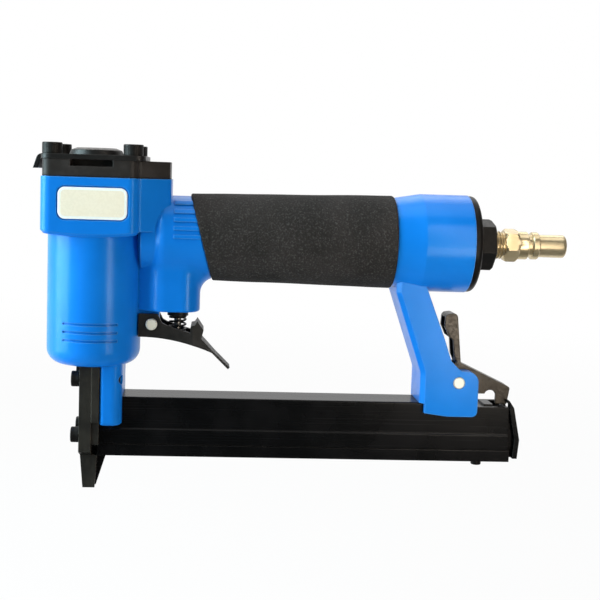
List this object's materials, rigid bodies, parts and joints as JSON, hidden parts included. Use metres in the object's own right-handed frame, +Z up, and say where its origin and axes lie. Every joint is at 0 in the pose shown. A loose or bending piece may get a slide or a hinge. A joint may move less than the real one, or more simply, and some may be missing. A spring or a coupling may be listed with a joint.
{
  "type": "pneumatic staple tacker",
  "caption": "Compressed-air staple tacker with an upright barrel, a rubber-gripped handle, a trigger, a straight magazine with a pull-out slide, a rear latch and a brass air plug.",
  "frame": {"origin": "the staple exit: the middle of the driver slot at the tip of the nose", "axes": "+X back along the handle to the air plug, +Y to the far side, +Z up along the drive axis, staples leave along -Z"},
  "size_m": [0.2332, 0.0438, 0.1498],
  "materials": {
    "blue_casting": "cast aluminium in gloss azure paint",
    "name_plate": "plain cream plate with a pale rim",
    "black_casting": "casting in satin black paint",
    "black_sheet": "pressed sheet in satin black paint",
    "black_screw": "black oxide",
    "seal_rubber": "matt black rubber",
    "bumper_rubber": "matt urethane rubber",
    "grip_rubber": "fine-grained foam rubber",
    "bare_aluminium": "turned, bare",
    "white_plastic": "moulded acetal",
    "black_plastic": "moulded",
    "tool_steel": "ground steel",
    "spring_steel": "drawn wire",
    "pale_brass": "turned, pale plated",
    "nose_steel": "blackened steel, satin",
    "trigger_black": "satin black powder coat",
    "magazine_black": "gloss black paint",
    "zinc_pin": "pale zinc plate",
    "latch_steel": "burnished bronze-black"
  },
  "bodies": {
    "tool": {"housing": "blue_casting", "name_plate": "name_plate", "cap_gasket": "seal_rubber", "top_cap": "black_casting", "exhaust_cover": "black_sheet", "cap_screw_front_near": "black_screw", "cap_screw_front_far": "black_screw", "cap_screw_rear_near": "black_screw", "cap_screw_rear_far": "black_screw", "cylinder_sleeve": "bare_aluminium", "sleeve_seal": "seal_rubber", "bumper": "bumper_rubber", "head_valve_spring": "spring_steel", "grip_sleeve": "grip_rubber", "end_cap": "black_casting", "end_cap_seal": "seal_rubber", "air_plug": "pale_brass", "nose_front_plate": "nose_steel", "nose_back_plate": "nose_steel", "nose_screw_upper_near": "black_screw", "nose_screw_upper_far": "black_screw", "nose_screw_lower_near": "black_screw", "nose_screw_lower_far": "black_screw", "valve_body": "black_plastic", "valve_seal_lower": "seal_rubber", "valve_seal_upper": "seal_rubber", "stem_seal": "seal_rubber", "trigger_spring": "spring_steel", "trigger_pin": "zinc_pin", "magazine_channel": "magazine_black", "magazine_screw": "black_screw", "latch_pin": "zinc_pin"},
    "driver": {"piston": "bare_aluminium", "piston_ring": "white_plastic", "driver_blade": "tool_steel", "driver_pin": "tool_steel"},
    "head_valve": {"head_valve": "white_plastic", "head_valve_seal": "seal_rubber"},
    "trigger": {"trigger": "trigger_black"},
    "valve_stem": {"valve_stem": "tool_steel"},
    "slide": {"slide_cover": "magazine_black", "slide_rail": "tool_steel", "slide_tongue": "nose_steel", "slide_rear_block": "black_plastic", "slide_end_plate": "magazine_black", "slide_screw": "black_screw", "pusher_rod": "tool_steel", "pusher_spring": "spring_steel"},
    "pusher": {"pusher": "tool_steel"},
    "latch": {"latch_lever": "latch_steel", "latch_spring": "spring_steel"}
  },
  "joints": [
    {"name": "trigger_pull", "type": "hinge", "parent": "tool", "child": "trigger", "pos_m": [0.0255, 0, 0.0729], "axis": [0, -1, 0], "range_deg": [0, 7], "stiffness_Nm_per_rad": 0.8, "springref_deg": -5.73, "deforming": ["trigger_spring"]},
    {"name": "stem_lift", "type": "slide", "parent": "tool", "child": "valve_stem", "axis": [0, 0, 1], "range_m": [0, 0.00137]},
    {"name": "drive_stroke", "type": "slide", "parent": "tool", "child": "driver", "axis": [0, 0, -1], "range_m": [0, 0.0387]},
    {"name": "head_valve_lift", "type": "slide", "parent": "tool", "child": "head_valve", "axis": [0, 0, 1], "range_m": [0, 0.003], "stiffness_N_per_m": 1500, "springref_m": -0.004, "deforming": ["head_valve_spring"]},
    {"name": "slide_out", "type": "slide", "parent": "tool", "child": "slide", "axis": [1, 0, 0], "range_m": [0, 0.11]},
    {"name": "pusher_travel", "type": "slide", "parent": "slide", "child": "pusher", "axis": [1, 0, 0], "range_m": [0, 0.1], "stiffness_N_per_m": 60, "springref_m": -0.08, "deforming": ["pusher_spring"]},
    {"name": "latch_swing", "type": "hinge", "parent": "tool", "child": "latch", "pos_m": [0.1609, 0, 0.0504], "axis": [0, -1, 0], "range_deg": [-4, 10], "stiffness_Nm_per_rad": 0.5}
  ],
  "couplings": [
    {"joint": "stem_lift", "follows": "trigger_pull", "m_per_rad": 0.0112}
  ]
}
